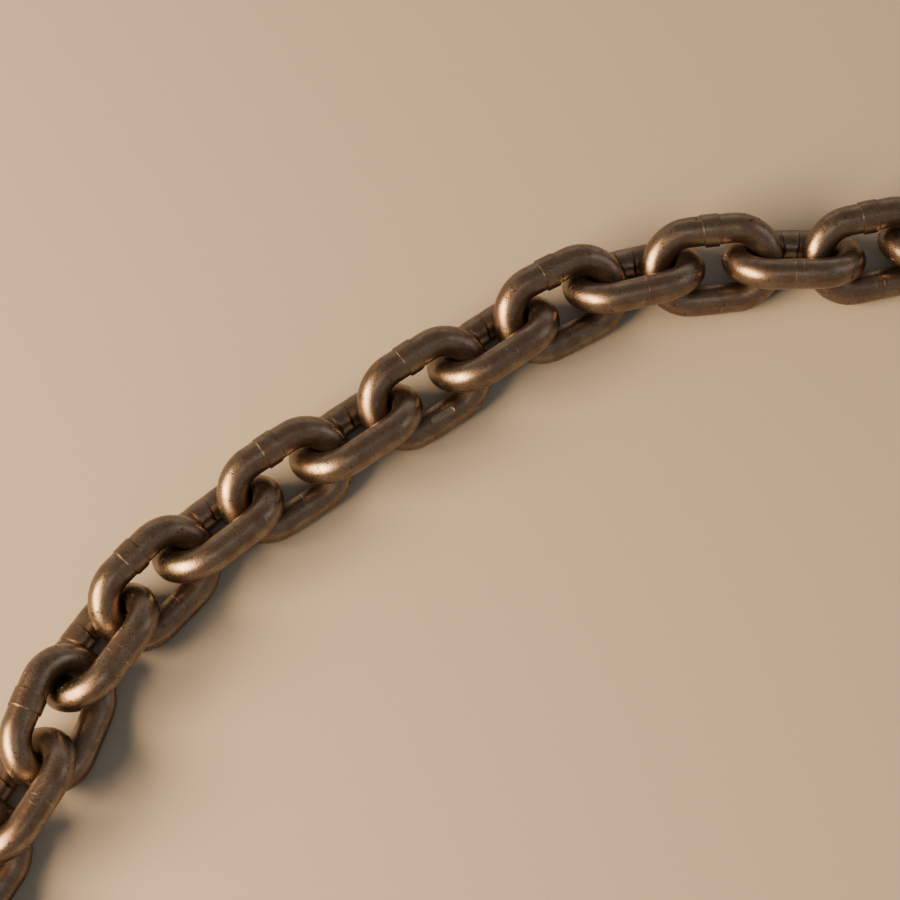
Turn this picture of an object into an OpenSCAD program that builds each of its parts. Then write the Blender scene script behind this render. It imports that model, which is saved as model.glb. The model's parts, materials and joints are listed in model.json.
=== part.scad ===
// Short-link calibrated load chain for a hoist, a cut length of round-steel links lying on a flat
// surface. Every link is one piece of round wire, bent to a long eye and closed with a butt weld in
// one leg. Neighbours hang in each other's crowns, turned about a quarter turn, and the length lies
// in the loose bend that a set-down chain takes.
// Millimetres, +Z up, the surface is Z = 0, and the origin is at the middle of the footprint.

/* [Link] */
// Diameter of the round wire
wire_d = 13; // [8:0.5:15]
// Pitch, the inside length of one link
pitch = 36; // [34:0.5:50]
// How much wider the inside of a link is than the wire that runs in it
side_play = 4.6; // [3.6:0.1:7]

/* [Weld] */
// Length of the butt weld's collar along the leg
weld_len = 7.4; // [3:0.1:9]
// How far the collar stands proud of the wire
weld_rise = 0.4; // [0.1:0.05:0.8]
// How far the collar's two edges slope down to the wire
weld_slope = 0.5; // [0.2:0.1:1.2]

/* [Lay] */
// Gap between the wires of two hooked links as they lie
play = 0.4; // [0.2:0.05:0.8]
// Lean of a link's plane from the surface, every other link leaning the other way
lean = 40; // [38:1:48]

/* [Hidden] */
// Plan direction in which each link points, in degrees, from the near left end to the far right end
headings = [62, 61, 60, 60, 71, 56, 48, 40, 36, 36, 35, 36, 29, 14, 7, 1, 13, -2, 0, 2, 3];
link_count = len(headings);

inner_w = wire_d + side_play;
bend_r = (inner_w + wire_d) / 2;
half_leg = (pitch - inner_w) / 2;
// Rounds taken by the two searches that seat one link in the next
slide_rounds = 8;
nearest_rounds = 8;
$fn = 96;

function link_name(i) = str("link_", i < 9 ? "0" : "", i + 1);

// Every other link has its weld on the leg that is up, and the rest have it underneath
function weld_side(i) = i % 2 == 0 ? 1 : -1;

// A link's own directions as it lies: along its length, and across its width
function lean_of(i) = i % 2 == 0 ? lean : 180 - lean;
function along(i) = [cos(headings[i]), sin(headings[i]), 0];
function across(i) = [-sin(headings[i]) * cos(lean_of(i)), cos(headings[i]) * cos(lean_of(i)), sin(lean_of(i))];

// A link rests on its lower leg, or on the weld collar where that leg has it
function rest_height(i) = bend_r * sin(lean) + wire_d / 2 + (weld_side(i) < 0 ? weld_rise : 0);

// The point of a crown's centre line, about the crown's centre, that is nearest to a point
function on_crown(i, centre, point) =
    let (v = point - centre, a = v * along(i), b = v * across(i))
    centre + bend_r * (a * along(i) + b * across(i)) / norm([a, b]);

// The smallest distance between the centre lines of link i's right crown and the next link's left one
function wire_distance(i, crown, next_crown, point, rounds) =
    let (here = on_crown(i, crown, point), there = on_crown(i + 1, next_crown, here))
    rounds <= 0 ? norm(here - there) : wire_distance(i, crown, next_crown, there, rounds - 1);

// Slides the next link's crown along the pull until its wire clears link i's wire by the play
function seated(i, crown, next_crown, pull, rounds) =
    rounds <= 0 ? next_crown :
    let (apart = wire_distance(i, crown, next_crown, next_crown - bend_r * pull, nearest_rounds))
    seated(i, crown, next_crown - (wire_d + play - apart) * pull, pull, rounds - 1);

// The centre of the link after link i, hooked in link i, whose own centre is given
function next_centre(i, centre) =
    let (
        between = along(i) + along(i + 1),
        pull = between / norm(between),
        crown = centre + half_leg * along(i),
        reach = (2 * bend_r - wire_d - play) * pull,
        lift = [0, 0, rest_height(i + 1) - rest_height(i)],
        next_crown = seated(i, crown, crown + reach + lift, pull, slide_rounds)
    )
    next_crown + half_leg * along(i + 1);

// Centres of all links, walked along the chain from its first link
walked = [
    for (i = 0, c = [0, 0, rest_height(0)]; i < link_count;
         c = i + 1 < link_count ? next_centre(i, c) : c, i = i + 1) c
];

// How far a link reaches from its centre along X or Y
function half_extent(i, axis) =
    half_leg * abs(along(i)[axis]) + bend_r * norm([along(i)[axis], across(i)[axis]]) + wire_d / 2;
function middle(axis) =
    (min([for (i = [0 : link_count - 1]) walked[i][axis] - half_extent(i, axis)])
     + max([for (i = [0 : link_count - 1]) walked[i][axis] + half_extent(i, axis)])) / 2;
footprint_middle = [middle(0), middle(1), 0];

// Half of a link's rounded end, the wire swept through half a turn
module crown() {
    translate([half_leg, 0, 0])
        rotate([0, 0, -90])
            rotate_extrude(angle = 180)
                translate([bend_r, 0])
                    circle(d = wire_d);
}

// Upset of the butt weld: a low collar round the leg with sloping edges
module weld_collar() {
    flat_len = weld_len - 2 * weld_slope;
    rotate([0, 90, 0]) {
        cylinder(d = wire_d + 2 * weld_rise, h = flat_len, center = true);
        for (end = [0, 1])
            mirror([0, 0, end])
                translate([0, 0, flat_len / 2])
                    cylinder(d1 = wire_d + 2 * weld_rise, d2 = wire_d, h = weld_slope);
    }
}

// One link, its length along X, its width along Y, with the weld in the leg on the given side
module chain_link(weld) {
    for (end = [0, 1])
        mirror([end, 0, 0])
            crown();
    for (side = [-1, 1])
        translate([0, side * bend_r, 0])
            rotate([0, 90, 0])
                cylinder(d = wire_d, h = 2 * half_leg, center = true);
    translate([0, weld * bend_r, 0])
        weld_collar();
}

// Link i where it lies
module laid_link(i) {
    color("sienna")
        translate(walked[i] - footprint_middle)
            rotate([lean_of(i), 0, headings[i]])
                chain_link(weld_side(i));
}

for (i = [0 : link_count - 1])
    laid_link(i);
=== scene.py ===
# %% [markdown]
# A hoist load chain, laid down in a loose bend: twenty-one short links of 13 mm round steel.
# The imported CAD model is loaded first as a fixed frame. Everything below is in metres in that
# frame, so each finished link is put exactly where the CAD has its plain one.

# %% Load the frame
import json

import bmesh
import bpy
from math import atan2, cos, exp, pi, radians, sin
from mathutils import Matrix, Vector, noise


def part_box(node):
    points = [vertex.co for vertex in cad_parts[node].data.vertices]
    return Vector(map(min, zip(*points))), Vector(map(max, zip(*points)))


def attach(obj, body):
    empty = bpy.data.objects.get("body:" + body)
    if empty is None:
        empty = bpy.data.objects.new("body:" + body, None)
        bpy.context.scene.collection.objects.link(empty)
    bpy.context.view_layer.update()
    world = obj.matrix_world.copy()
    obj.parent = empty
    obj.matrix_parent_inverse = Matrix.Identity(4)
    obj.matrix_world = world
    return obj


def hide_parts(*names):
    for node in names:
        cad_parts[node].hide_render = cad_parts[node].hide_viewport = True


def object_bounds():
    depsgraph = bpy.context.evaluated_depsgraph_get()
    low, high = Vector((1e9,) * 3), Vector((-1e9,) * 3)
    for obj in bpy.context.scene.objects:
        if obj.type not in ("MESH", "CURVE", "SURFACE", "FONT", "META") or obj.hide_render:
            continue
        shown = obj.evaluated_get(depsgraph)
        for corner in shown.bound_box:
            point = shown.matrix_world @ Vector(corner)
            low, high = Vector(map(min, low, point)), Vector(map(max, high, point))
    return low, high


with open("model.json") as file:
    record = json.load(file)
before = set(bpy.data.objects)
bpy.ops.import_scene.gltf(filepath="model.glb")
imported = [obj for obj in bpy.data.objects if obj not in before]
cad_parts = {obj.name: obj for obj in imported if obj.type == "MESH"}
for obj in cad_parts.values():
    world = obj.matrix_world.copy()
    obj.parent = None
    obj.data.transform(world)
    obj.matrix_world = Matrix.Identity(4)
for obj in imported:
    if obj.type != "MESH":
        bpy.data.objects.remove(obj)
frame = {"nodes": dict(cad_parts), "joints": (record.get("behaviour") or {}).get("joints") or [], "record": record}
cad_low, cad_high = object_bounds()
cad_size = [round(v * 1000, 1) for v in cad_high - cad_low]
print("links:", len(frame["nodes"]), "size in mm:", cad_size)

# %% [markdown]
# The sizes of the real link. A calibrated link is one bar of round wire bent to a long eye: two
# half circles, the crowns, joined by two straight legs. One leg is cut and closed by a butt weld,
# and the weld leaves a collar, because the hot ends are pushed together until they swell.

# %% Sizes of a link
MM = 0.001
wire_r = 6.5 * MM
pitch = 36 * MM
inner_w = 17.6 * MM
bend_r = inner_w / 2 + wire_r
half_leg = (pitch - inner_w) / 2
leg = 2 * half_leg
half_way = pi * bend_r + leg
way_round = 2 * pi * bend_r + 2 * leg
girth = 2 * pi * wire_r
print("bend radius", round(bend_r / MM, 2), "mm, way round", round(way_round / MM, 1), "mm")

# %% [markdown]
# Where each link lies. The record gives the centre and the axis of every hinge, and a hinge runs
# through the middle of its link's near crown, square to the link's plane. The first link has no
# hinge, so its open eye, which the record holds as a mount, says the same. A link's length is
# level here.

# %% Places of the links
names = sorted(frame["nodes"])
eye = frame["record"]["mounts"][0]
crowns = {names[0]: (eye["pos_m"], eye["axis"])}
for joint in frame["joints"]:
    crowns[joint["child"]] = (joint["pos_m"], joint["axis"])


def lay_of(name):
    """Matrix from a link's own frame, length along X and width along Y, to its place."""
    near_crown, axis = (Vector(v) for v in crowns[name])
    low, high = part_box(name)
    along = axis.cross(Vector((0, 0, 1))).normalized()
    if along.dot((low + high) / 2 - near_crown) < 0:
        along = -along
    across = axis.cross(along).normalized()
    if across.z < 0:
        across = -across
    turn = Matrix((along, across, along.cross(across))).transposed().to_4x4()
    return Matrix.Translation(near_crown + half_leg * along) @ turn


first_centre = lay_of(names[0]).translation
print("first link's centre in mm:", [round(v / MM, 1) for v in first_centre])

# %% [markdown]
# One link in its own frame. A ring of points is spun half a turn for a crown, drawn along a leg,
# spun again and drawn back, which is how the bar itself is bent. The spin operator does both: with
# an angle it turns, and with a step and no angle it draws. A leg is given as stretches, each with
# its length in millimetres and its number of rings, because rings are closer together at the weld,
# where the shape changes within half a millimetre.

# %% Sweep of the wire
RING_POINTS = 64
CROWN_RINGS = 36
PLAIN_LEG = ((leg / MM, 16),)
WELDED_LEG = ((4.6, 6), (1.4, 14), (6.4, 8), (1.4, 14), (4.6, 6))
MERGE_WITHIN = 0.01 * MM


def last_ring(made):
    """The edges that a spin ended with."""
    return [e for e in made["geom_last"] if isinstance(e, bmesh.types.BMEdge)]


def sweep_link(weld_side, other_leg=PLAIN_LEG):
    """A closed tube along the link, with fine rings in the leg that has the weld."""
    bm = bmesh.new()
    start = Matrix.Translation((half_leg, -bend_r, 0)) @ Matrix.Rotation(pi / 2, 4, "Y")
    bmesh.ops.create_circle(bm, segments=RING_POINTS, radius=wire_r, matrix=start)
    ends = bm.edges[:]
    for side in (1, -1):
        ends = last_ring(bmesh.ops.spin(
            bm, geom=ends, cent=(side * half_leg, 0, 0), axis=(0, 0, 1),
            angle=pi, steps=CROWN_RINGS))
        for length, rings in WELDED_LEG if side == weld_side else other_leg:
            step = (-side * length * MM / rings, 0, 0)
            ends = last_ring(bmesh.ops.spin(bm, geom=ends, dvec=step, steps=rings))
    bmesh.ops.remove_doubles(bm, verts=bm.verts, dist=MERGE_WITHIN)
    bmesh.ops.recalc_face_normals(bm, faces=bm.faces)
    return bm


sample = sweep_link(1)
open_edges = sum(not e.is_manifold for e in sample.edges)
print("faces in a link:", len(sample.faces), "open edges:", open_edges)
sample.free()

# %% [markdown]
# Every mark on a link follows the wire: the drawing lines run along it, the weld goes round it, and
# painted shade lies on the inside of the crowns, where the links meet. So each point is read as a way
# along the wire and an angle round it, with the angle 0 on the outside of the link and half a turn
# on the inside.

# %% Reading a point of the wire


def read_wire(point):
    """(way along the wire, angle round it, direction away from the wire's centre line)"""
    x, y = point.x, point.y
    if abs(x) > half_leg:
        side = 1 if x > 0 else -1
        turn = atan2(side * y, side * (x - side * half_leg))
        outward = side * Vector((cos(turn), sin(turn), 0))
        middle = Vector((side * half_leg, 0, 0)) + bend_r * outward
        way = bend_r * (turn + pi / 2) + (0 if side > 0 else half_way)
    else:
        side = 1 if y > 0 else -1
        outward = Vector((0, side, 0))
        middle = Vector((x, side * bend_r, 0))
        way = pi * bend_r + half_leg - side * x + (0 if side > 0 else half_way)
    offset = point - middle
    return way, atan2(offset.z, offset.dot(outward)), offset.normalized()


def weld_way(weld_side):
    """How far along the wire the middle of the weld is."""
    return pi * bend_r + half_leg + (0 if weld_side > 0 else half_way)


print("the weld is", round(weld_way(1) / MM, 1), "mm along the wire")

# %% [markdown]
# The collar of the weld. The hot ends swell all round, and a trimming tool then cuts the swelling
# down: almost flush on the two faces of the link, half a millimetre proud on the outside, and most
# of all on the inside, where the tool hardly reaches and the collar is also shorter. Its edges are
# a little slanted, and steepest where it is highest.

# %% Shape of the weld's collar
collar_half = 3.9 * MM
collar_taper = 0.8 * MM
face_rise = 0.07 * MM
outer_rise = 0.54 * MM
inner_rise = 0.88 * MM
edge_w = 0.85 * MM
edge_steeper = 0.55
wide_slant = 0.25 * MM
fine_slant = 0.12 * MM


def step_up(value, low, high):
    """0 below low, 1 above high, and a smooth rise between."""
    t = min(max((value - low) / (high - low), 0), 1)
    return t * t * (3 - 2 * t)


def collar_at(from_weld, angle, seed):
    """(height of the collar over the wire, share of the collar's full height there)"""
    turned = cos(angle)
    inside = turned < 0
    slant = wide_slant * sin(angle + seed) + fine_slant * sin(3 * angle + 2 * seed)
    reach = collar_half - (collar_taper if inside else 0) * turned ** 2
    edge = edge_w * (1 - edge_steeper * turned ** 4)
    share = step_up(reach - abs(from_weld + slant), -edge / 2, edge / 2)
    full = face_rise + ((inner_rise if inside else outer_rise) - face_rise) * turned ** 4
    return full * share, share


print("collar", round(2 * collar_half / MM, 1), "mm long,",
      round(outer_rise / MM, 2), "to", round(inner_rise / MM, 2), "mm proud")

# %% [markdown]
# Drawn and bent bar is never quite even, and the long highlights on it show that, so the whole wire
# gets dents of a few hundredths of a millimetre. They and the collar are real shape, so they are
# moved into the mesh and not left to a bump in the material.

# %% Shape of the link
dent_rise = 0.07 * MM
dent_size = 7 * MM
dent_shift = 9.7


def shape_link(bm, weld_side, seed):
    """Raises the weld's collar and makes the wire a little uneven."""
    weld_at = weld_way(weld_side)
    own_dents = Vector((seed * dent_shift, 0, 0))
    for vert in bm.verts:
        way, angle, out = read_wire(vert.co)
        height, _ = collar_at(way - weld_at, angle, seed)
        dent = dent_rise * noise.noise(vert.co / dent_size + own_dents)
        vert.co += (height + dent) * out


print("dents", round(dent_rise / MM, 2), "mm high at most,", round(dent_size / MM, 1), "mm wide")

# %% [markdown]
# Marks of the making and of use sit at set places of a link, so they are written into the mesh as
# numbers that the steel reads later, and two marks of painted shade are written the same way. Dark
# scale stays in the seams beside the collar, and the seam mark also paints shade over the collar's
# outer edges, to dim the glint that their slope catches. The trimming tool leaves bare metal on a
# short way of the collar's edges. The inside of the wire, on the crowns and all but the middle of
# the legs, gets painted shade: a darker colour where the neighbouring links shade it and would throw
# glints. The film is knocked most on the crowns' outsides and pitted most on the legs' outsides.
# The clamp mark is the distance in millimetres from the place, straight across from the weld, where
# the welding clamps held the link.

# %% Marks that the steel reads
MARKS = ("seam_scale_and_shade", "painted_inner_shade", "knock", "pit", "bare", "clamp")
# How strong the seam mark is inside and outside the collar: dark scale with painted shade inside, and outside only
# painted shade that dims the glint of the collar's edges.
seam_dark_inside, seam_shade_outside = 0.8, 0.95
inside_begins, inside_full = -0.1, 0.5
outside_begins, outside_full = 0.38, 0.52
bare_at, bare_spread = 0.3, 0.1
bare_near, bare_far = 0.35, 0.9
crown_full = 6 * MM
# Painted shade on the inside of the wire: where it begins and is full, measured along the link from its middle,
# and how far round the inside it spreads.
inner_shade_begins, inner_shade_full, inner_shade_spread = 2 * MM, 5.5 * MM, 0.8
knock_least, knock_more = 0.3, 0.7
knock_begins, knock_full = -0.5, 0.3
pit_least, pit_more = 0.8, 0.9
pit_begins, pit_full = -0.3, 0.5
clamp_reach = 20


def bell(value, spread):
    """1 at zero, falling off evenly to both sides."""
    return exp(-((value / spread) ** 2))


def mark_link(bm, weld_side, seed):
    """Writes the marks of one link into its points, before the link gets its shape."""
    layers = [bm.verts.layers.float.new(mark) for mark in MARKS]
    weld_at = weld_way(weld_side)
    clamp_at = weld_at + weld_side * way_round / 2
    for vert in bm.verts:
        way, angle, _ = read_wire(vert.co)
        outside = cos(angle)
        _, on_collar = collar_at(way - weld_at, angle, seed)
        slope = 4 * on_collar * (1 - on_collar)
        seam_darkness = (seam_dark_inside * step_up(-outside, inside_begins, inside_full)
                  + seam_shade_outside * step_up(outside, outside_begins, outside_full))
        crown = step_up(abs(vert.co.x) - half_leg, 0, crown_full)
        off_middle = step_up(abs(vert.co.x), inner_shade_begins, inner_shade_full)
        from_clamp = (way - clamp_at + way_round / 2) % way_round - way_round / 2
        bare_here = bare_far if way > weld_at else bare_near
        # The first value is the weld's dark scale with painted shade over the collar's outer edges, the second is
        # painted shade on the inside of the wire.
        values = (
            slope * seam_darkness,
            off_middle * bell(abs(angle) - pi, inner_shade_spread),
            knock_least + knock_more * crown * step_up(outside, knock_begins, knock_full),
            pit_least + pit_more * (1 - crown) * step_up(outside, pit_begins, pit_full),
            slope * bell(outside - bare_at, bare_spread) * bare_here,
            min(max(from_clamp / MM, -clamp_reach), clamp_reach),
        )
        for layer, value in zip(layers, values):
            vert[layer] = value


print("marks:", ", ".join(MARKS))

# %% [markdown]
# One link in twenty or so is pressed flat for a short way along its plain leg. The press leaves a
# shallow bay with rounded ends in the top of the wire, rubbed a little bright, and the bay's rim
# needs finer rings in that leg.

# %% The pressed bed
PRESSED = "link_11"
PRESSED_LEG = ((2.7, 3), (13, 52), (2.7, 3))
bed_half = 5.6 * MM
bed_w = 3.4 * MM
bed_depth = 0.42 * MM
bed_bare = 0.4
rim_out, rim_in = 0.15 * MM, 0.35 * MM
bed_faces = Vector((0, -0.3, 0.95))


def press_bed(bm, weld_side, towards):
    """Presses the bed into the plain leg, on the side that faces the given way."""
    side = -weld_side
    facing = atan2(towards.z, side * towards.y)
    bare = bm.verts.layers.float["bare"]
    for vert in bm.verts:
        if abs(vert.co.x) < half_leg and side * vert.co.y > 0:
            _, angle, out = read_wire(vert.co)
            across_bed = abs((angle - facing + pi) % (2 * pi) - pi) * wire_r
            past_end = max(abs(vert.co.x) - bed_half + bed_w / 2, 0)
            inside = bed_w / 2 - (across_bed ** 2 + past_end ** 2) ** 0.5
            pressed = step_up(inside, -rim_out, rim_in)
            vert[bare] = bed_bare * pressed
            vert.co -= bed_depth * pressed * out


print("bed", round(2 * bed_half / MM, 1), "mm long,", round(bed_w / MM, 1), "mm wide")

# %% [markdown]
# The wire's own map. U is the way along the wire and V the angle round it, both as shares of one
# turn, so lines that follow the wire need no guess at the bends. Where the tube closes on itself
# the far corners of a face would jump back to zero, so they are carried on past one.

# %% Map along the wire
WIRE_MAP = "along_wire"


def map_link(bm):
    """Gives the mesh a UV map that follows the wire."""
    layer = bm.loops.layers.uv.new(WIRE_MAP)
    places = {}
    for vert in bm.verts:
        way, angle, _ = read_wire(vert.co)
        places[vert] = (way / way_round, angle / (2 * pi) + 0.5)
    for face in bm.faces:
        corners = [places[loop.vert] for loop in face.loops]
        high = [max(c[axis] for c in corners) for axis in (0, 1)]
        for loop, corner in zip(face.loops, corners):
            loop[layer].uv = [c + 1 if h - c > 0.5 else c for c, h in zip(corner, high)]


print("U is", round(way_round / MM, 1), "mm a turn and V", round(girth / MM, 1), "mm a turn")

# %% [markdown]
# Colours are written as sRGB hex, as a picture editor shows them, and Blender's sockets want linear
# light, so one function turns one into the other. A second one adds a node, sets its values and
# joins its inputs, which keeps each material readable from top to bottom. A Mix node's inputs share
# their names, so they are told apart by number.

# %% Helpers for materials
FACTOR, NUMBER_A, NUMBER_B, COLOUR_A, COLOUR_B = 0, 2, 3, 6, 7
MIXED_COLOUR = 2


def linear(hex_colour):
    """Linear RGBA of an sRGB hex colour."""
    parts = [int(hex_colour[i:i + 2], 16) / 255 for i in (1, 3, 5)]
    return [c / 12.92 if c <= 0.04045 else ((c + 0.055) / 1.055) ** 2.4 for c in parts] + [1]


def add_node(tree, kind, settings=None, links=None, **values):
    """A new node: settings are its properties, and links and values are its inputs.

    A link may be a socket, a node, which stands for its first output, or a plain value.
    """
    made = tree.nodes.new(kind)
    for key, value in (settings or {}).items():
        setattr(made, key, value)
    for key, value in values.items():
        made.inputs[key.replace("_", " ")].default_value = value
    for key, source in (links or {}).items():
        if isinstance(source, bpy.types.Node):
            source = source.outputs[0]
        if isinstance(source, bpy.types.NodeSocket):
            tree.links.new(source, made.inputs[key])
        else:
            made.inputs[key].default_value = source
    return made


print("half grey in linear light:", round(linear("#808080")[0], 3))

# %% [markdown]
# Heat-treated alloy steel, the metal of every link. The bar is drawn, so fine lines run along it,
# and the furnace leaves an uneven film of oxide, olive in one place and rosy in the next, over a
# satin grain. It is a metal throughout: the film is far thinner than a hair, so the light still
# comes back as a coloured reflection. The grain of the real metal is finer than the picture can
# show, so it is drawn about one and a half pixels wide.

# %% Chain steel: drawing lines, grain and film
GRAIN = 0.65 * MM
FILM_PATCH = 6 * MM
STREAK_L = 14 * MM
STREAK_W = 0.5 * MM
steel = bpy.data.materials.new("heat_treated_alloy_steel")
steel.use_nodes = True
metal = steel.node_tree
metal.nodes.clear()
spot = add_node(metal, "ShaderNodeTexCoord").outputs["Object"]
along = add_node(metal, "ShaderNodeUVMap", {"uv_map": WIRE_MAP})
streak_at = add_node(metal, "ShaderNodeMapping", links={
    "Vector": along, "Scale": (way_round / STREAK_L, girth / STREAK_W, 1)})
streaks = add_node(metal, "ShaderNodeTexNoise", {"noise_dimensions": "2D"},
                   {"Vector": streak_at}, Scale=1, Detail=2, Roughness=0.6)
grain = add_node(metal, "ShaderNodeTexNoise", links={"Vector": spot},
                 Scale=1 / GRAIN, Detail=3, Roughness=0.7)
film = add_node(metal, "ShaderNodeTexNoise", links={"Vector": spot},
                Scale=1 / FILM_PATCH, Detail=4, Roughness=0.6)
marks = {mark: add_node(metal, "ShaderNodeAttribute", {"attribute_name": mark}).outputs["Fac"]
         for mark in MARKS}
print("grain", round(GRAIN / MM, 2), "mm, film patches", round(FILM_PATCH / MM, 1), "mm")

# %% [markdown]
# Where the film is eaten or knocked through, dark rough specks show. Pits sit in a few cells of a
# cell pattern, and cracks of one or two millimetres on the borders of a finer one. The grain bends
# both patterns, so that no pit is quite round and no crack is straight, and broad patches decide
# where there are any.

# %% Chain steel: pits and cracks
PIT_SPACING = 2.2 * MM
PIT_PATCH = 11 * MM
CRACK_SPACING = 1.7 * MM
CRACK_PATCH = 3.5 * MM
BENT_BY = 0.9 * MM
bent = add_node(metal, "ShaderNodeVectorMath", {"operation": "MULTIPLY_ADD"}, {
    0: grain.outputs["Color"], 1: (BENT_BY,) * 3, 2: spot})
pits = add_node(metal, "ShaderNodeTexVoronoi", links={"Vector": bent}, Scale=1 / PIT_SPACING)
pit_patch = add_node(metal, "ShaderNodeTexNoise", links={"Vector": spot},
                     Scale=1 / PIT_PATCH, Detail=1)
pit_share = add_node(metal, "ShaderNodeMapRange", links={"Value": pit_patch},
                     From_Min=0.5, From_Max=0.7, To_Min=0.0, To_Max=0.11)
pit_size = add_node(metal, "ShaderNodeMath", {"operation": "MULTIPLY"}, {
    0: pit_share, 1: marks["pit"]})
in_pit = add_node(metal, "ShaderNodeMath", {"operation": "LESS_THAN"}, {0: pits, 1: pit_size})
borders = add_node(metal, "ShaderNodeTexVoronoi", {"feature": "DISTANCE_TO_EDGE"},
                   {"Vector": bent}, Scale=1 / CRACK_SPACING)
crack_patch = add_node(metal, "ShaderNodeTexNoise", links={"Vector": spot},
                       Scale=1 / CRACK_PATCH, Detail=1)
crack_share = add_node(metal, "ShaderNodeMapRange", links={"Value": crack_patch},
                       From_Min=0.6, From_Max=0.74, To_Min=0.0, To_Max=0.06)
crack_w = add_node(metal, "ShaderNodeMath", {"operation": "MULTIPLY"}, {
    0: crack_share, 1: marks["knock"]})
in_crack = add_node(metal, "ShaderNodeMath", {"operation": "LESS_THAN"}, {
    0: borders, 1: crack_w})
broken = add_node(metal, "ShaderNodeMath", {"operation": "MAXIMUM"}, {0: in_pit, 1: in_crack})
print("a pit every", round(PIT_SPACING / MM, 1), "mm at most")

# %% [markdown]
# The welding clamps hold the other leg at its middle, and their two edges scrape it bright: short,
# shaky lines across the wire. The bare edges of the collar shine in the same way, so both make one
# mark.

# %% Chain steel: scrapes
SCRAPE_WAVE = 1.2 * MM
SCRAPE_SHAKE = 0.9
# Place of each scrape and half its width, in mm from the clamps' middle
SCRAPES = ((2.1, 0.16), (-1.4, 0.1))
wave = add_node(metal, "ShaderNodeTexNoise", links={"Vector": spot},
                Scale=1 / SCRAPE_WAVE, Detail=2)
shaky = add_node(metal, "ShaderNodeMath", {"operation": "MULTIPLY_ADD"}, {
    0: wave, 1: SCRAPE_SHAKE, 2: marks["clamp"]})
near, far = (add_node(metal, "ShaderNodeMath", {"operation": "COMPARE"}, {
    0: shaky, 1: place, 2: half_w}) for place, half_w in SCRAPES)
either = add_node(metal, "ShaderNodeMath", {"operation": "MAXIMUM"}, {0: near, 1: far})
torn = add_node(metal, "ShaderNodeMapRange", links={"Value": crack_patch},
                From_Min=0.54, From_Max=0.68)
scrape = add_node(metal, "ShaderNodeMath", {"operation": "MULTIPLY_ADD"}, {
    0: either, 1: torn, 2: marks["bare"]})
print("scrapes in mm from the clamps' middle:", [place for place, _ in SCRAPES])

# %% [markdown]
# The colour starts as the film's two tints, speckled by the grain. Over it lie, one after another,
# painted shade on the insides of the crowns, the weld's dark scale with painted shade over the
# collar's outer edges, the pale bare metal of the scrapes, and the near black of pits and cracks.

# %% Chain steel: colour
OLIVE_FILM, ROSY_FILM = "#797067", "#6b5c56"
film_share = add_node(metal, "ShaderNodeMapRange", links={"Value": film},
                      From_Min=0.38, From_Max=0.62)
coat = add_node(metal, "ShaderNodeMix", {"data_type": "RGBA"}, {
    FACTOR: film_share, COLOUR_A: linear(OLIVE_FILM), COLOUR_B: linear(ROSY_FILM)})
speck = add_node(metal, "ShaderNodeMapRange", links={"Value": grain},
                 From_Min=0.36, From_Max=0.64, To_Min=0.89, To_Max=1.09)
colour = add_node(metal, "ShaderNodeMix", {"data_type": "RGBA", "blend_type": "MULTIPLY"}, {
    FACTOR: 1, COLOUR_A: coat.outputs[MIXED_COLOUR], COLOUR_B: speck})
# 5e5048 is painted shade on the inside of the wire; #45382f is the weld's dark scale, with painted shade over the
# collar's outer edges.
covers = ((marks["painted_inner_shade"], "#5e5048"), (marks["seam_scale_and_shade"], "#45382f"),
          (scrape, "#b3a796"), (broken, "#2e2219"))
for share, tint in covers:
    colour = add_node(metal, "ShaderNodeMix", {"data_type": "RGBA"}, {
        FACTOR: share, COLOUR_A: colour.outputs[MIXED_COLOUR], COLOUR_B: linear(tint)})
print("covers over the film:", len(covers))

# %% [markdown]
# The satin comes from the gloss and from the relief together. The grain makes the roughness change
# from point to point, which is the sparkle in the highlights; the painted shade inside the crowns
# and the seams are duller, and a pit reflects almost nothing. The relief stacks three bumps: the
# drawing lines, the grain, and the broken film, which lies lower than the rest.

# %% Chain steel: gloss and relief
GRAIN_GLOSS, INNER_SHADE_DULL, SEAM_DULL, PIT_ROUGH = 0.34, 0.2, 0.3, 0.8
film_gloss = add_node(metal, "ShaderNodeMapRange", links={"Value": film},
                      From_Min=0.35, From_Max=0.65, To_Min=0.12, To_Max=0.19)
rough = film_gloss
for source, dulling in ((grain, GRAIN_GLOSS), (marks["painted_inner_shade"], INNER_SHADE_DULL), (marks["seam_scale_and_shade"], SEAM_DULL)):
    rough = add_node(metal, "ShaderNodeMath", {"operation": "MULTIPLY_ADD"}, {
        0: source, 1: dulling, 2: rough})
rough = add_node(metal, "ShaderNodeMix", {"data_type": "FLOAT"}, {
    FACTOR: broken, NUMBER_A: rough, NUMBER_B: PIT_ROUGH})
lined = add_node(metal, "ShaderNodeBump", links={"Height": streaks},
                 Strength=0.12, Distance=0.05 * MM)
grained = add_node(metal, "ShaderNodeBump", links={"Height": grain, "Normal": lined},
                   Strength=0.7, Distance=0.1 * MM)
relief = add_node(metal, "ShaderNodeBump", {"invert": True}, {
    "Height": broken, "Normal": grained}, Strength=0.6, Distance=0.15 * MM)
shader = add_node(metal, "ShaderNodeBsdfPrincipled", links={
    "Base Color": colour.outputs[MIXED_COLOUR], "Roughness": rough, "Normal": relief},
    Metallic=1.0)
add_node(metal, "ShaderNodeOutputMaterial", links={"Surface": shader})
print("nodes in the steel:", len(metal.nodes))

# %% [markdown]
# The chain itself: every link is shaped in its own frame and then carried to its place, so its
# object stays at the origin. The first link and every second one after it have the weld on the leg
# that is up, and the others have it underneath. A link's seed makes its dents and its weld its own.

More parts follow.
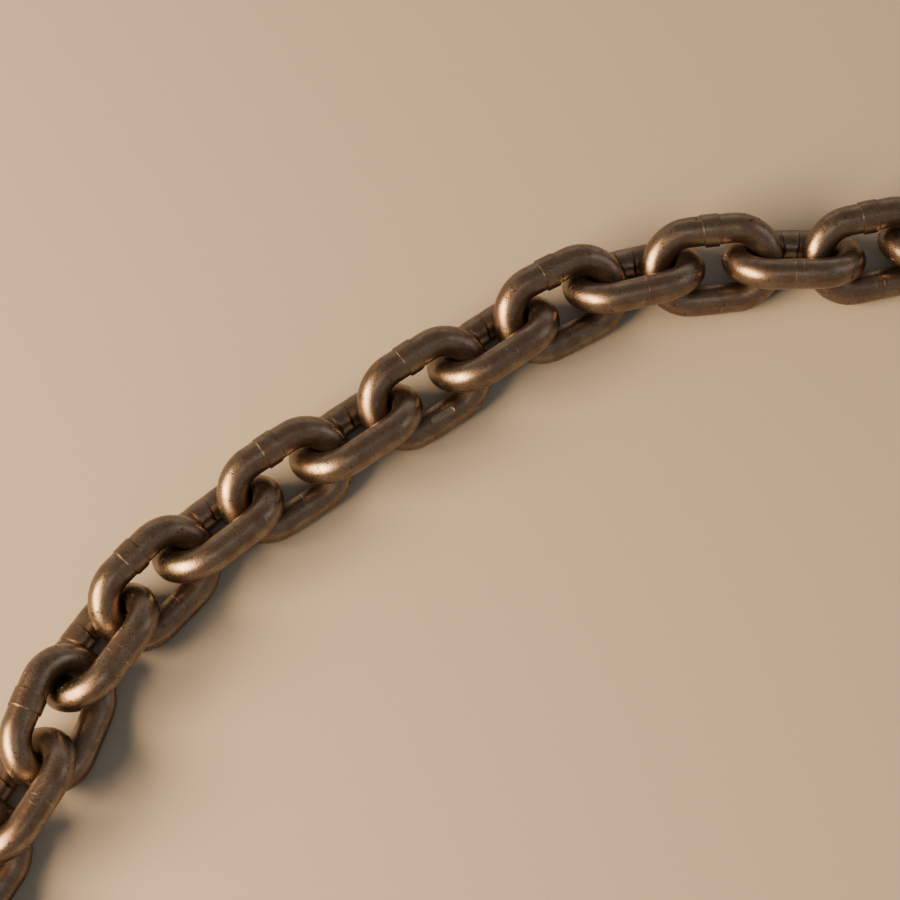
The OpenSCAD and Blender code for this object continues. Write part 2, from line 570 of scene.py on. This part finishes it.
# %% The links
SEED_STEP = 1.7
for number, name in enumerate(names):
    weld_side = 1 if number % 2 == 0 else -1
    lay = lay_of(name)
    bm = sweep_link(weld_side, PRESSED_LEG if name == PRESSED else PLAIN_LEG)
    map_link(bm)
    mark_link(bm, weld_side, SEED_STEP * number)
    shape_link(bm, weld_side, SEED_STEP * number)
    if name == PRESSED:
        press_bed(bm, weld_side, lay.to_3x3().inverted() @ bed_faces)
    bm.transform(lay)
    for face in bm.faces:
        face.smooth = True
    mesh = bpy.data.meshes.new(name + "_wire")
    bm.to_mesh(mesh)
    bm.free()
    mesh.materials.append(steel)
    link = bpy.data.objects.new(name + "_wire", mesh)
    bpy.context.scene.collection.objects.link(link)
    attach(link, name)
    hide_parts(name)
print("links made:", len(names))

# %% [markdown]
# A plain pale surface to lie on, far wider than the chain so that its edge never shows. It is matt
# board: its fibres scatter the light, so it has soft shade and no highlight, and a faint fleck.

# %% The surface
BOARD_HALF_W = 6
FLECK = 1.5 * MM
bm = bmesh.new()
bmesh.ops.create_grid(bm, x_segments=1, y_segments=1, size=BOARD_HALF_W)
mesh = bpy.data.meshes.new("surface")
bm.to_mesh(mesh)
bm.free()
surface = bpy.data.objects.new("surface", mesh)
bpy.context.scene.collection.objects.link(surface)
board = bpy.data.materials.new("matt_pale_board")
board.use_nodes = True
paper = board.node_tree
paper.nodes.clear()
board_spot = add_node(paper, "ShaderNodeTexCoord").outputs["Object"]
fleck = add_node(paper, "ShaderNodeTexNoise", links={"Vector": board_spot},
                 Scale=1 / FLECK, Detail=2)
flecked = add_node(paper, "ShaderNodeMix", {"data_type": "RGBA"}, {
    FACTOR: fleck, COLOUR_A: linear("#8d8c8b"), COLOUR_B: linear("#929190")})
board_shader = add_node(paper, "ShaderNodeBsdfPrincipled", links={
    "Base Color": flecked.outputs[MIXED_COLOUR]}, Roughness=0.9)
add_node(paper, "ShaderNodeOutputMaterial", links={"Surface": board_shader})
mesh.materials.append(board)
print("surface", surface.dimensions[0], "m wide")

# %% [markdown]
# Steel shows its surroundings more than its own colour, so the light is built as a room. The main
# window, low on the left front and warm, makes the long cream highlights on the left of each link.
# A small cool one on the right draws the grey line on the right crowns, a wide one at the back
# lightens the far sides, and a weak panel above keeps the tops from going black.

# %% Windows
target = Vector((-53.1, 77.1, 15)) * MM
# Name, direction from the target, distance, width and height in m, power in W, colour
WINDOWS = (
    ("window_left_front", (-0.77, -0.33, 0.51), 1.6, 1.24, 0.68, 146, "#ffcf96"),
    ("window_right", (0.83, 0.16, 0.5), 1.4, 0.6, 0.8, 1.6, "#f2efe9"),
    ("window_back", (-0.05, 0.96, 0.27), 2.0, 4.0, 0.9, 6.3, "#fff0dc"),
    ("ceiling", (0.05, -0.34, 0.94), 1.8, 0.9, 0.6, 2.1, "#fff2df"),
)
for name, towards, distance, width, height, power, tint in WINDOWS:
    lamp = bpy.data.lights.new(name, "AREA")
    lamp.shape = "RECTANGLE"
    lamp.size = width
    lamp.size_y = height
    lamp.energy = power
    lamp.color = linear(tint)[:3]
    window = bpy.data.objects.new(name, lamp)
    bpy.context.scene.collection.objects.link(window)
    way = Vector(towards).normalized()
    window.location = target + distance * way
    window.rotation_euler = way.to_track_quat("Z", "Y").to_euler()
print("windows:", len(WINDOWS))

# %% [markdown]
# The rest of the room is dim and only changes with height: the walls are palest at a third of the
# way up, and the ceiling is darker, which is what the tops of the wires show.

# %% Room
WALL_FOOT, CEILING_MIDDLE = "#a5937e", "#8d8375"
WALLS = ((0.35, "#b5a48f"), (0.75, "#a39788"), (0.92, "#7f7569"))
world = bpy.data.worlds.new("dim_room")
bpy.context.scene.world = world
world.use_nodes = True
air = world.node_tree
air.nodes.clear()
sky = add_node(air, "ShaderNodeTexCoord").outputs["Generated"]
up = add_node(air, "ShaderNodeSeparateXYZ", links={0: sky}).outputs["Z"]
room = add_node(air, "ShaderNodeValToRGB", links={0: up})
room.color_ramp.elements[0].color = linear(WALL_FOOT)
room.color_ramp.elements[1].color = linear(CEILING_MIDDLE)
for at, tint in WALLS:
    room.color_ramp.elements.new(at).color = linear(tint)
background = add_node(air, "ShaderNodeBackground", links={0: room}, Strength=1.0)
add_node(air, "ShaderNodeOutputWorld", links={0: background})
print("tints from wall to ceiling:", len(room.color_ramp.elements))

# %% [markdown]
# The camera. The outlines of the links in the photograph give it: it looks along +Y and down at
# 68 degrees from about a metre away, with a long lens, and the chain leaves the picture both ways.

# %% Camera
PICTURE = 900
focal_pixels = 2587.6
camera_down = radians(67.8)
camera_far = 1.0773
camera_data = bpy.data.cameras.new("camera")
camera = bpy.data.objects.new("camera", camera_data)
bpy.context.scene.collection.objects.link(camera)
bpy.context.scene.camera = camera
camera_data.sensor_width = 36
camera_data.lens = focal_pixels / PICTURE * camera_data.sensor_width
look = Vector((0, cos(camera_down), -sin(camera_down)))
camera.location = target - camera_far * look
camera.rotation_euler = (pi / 2 - camera_down, 0, 0)
print("lens", round(camera_data.lens, 1), "mm")
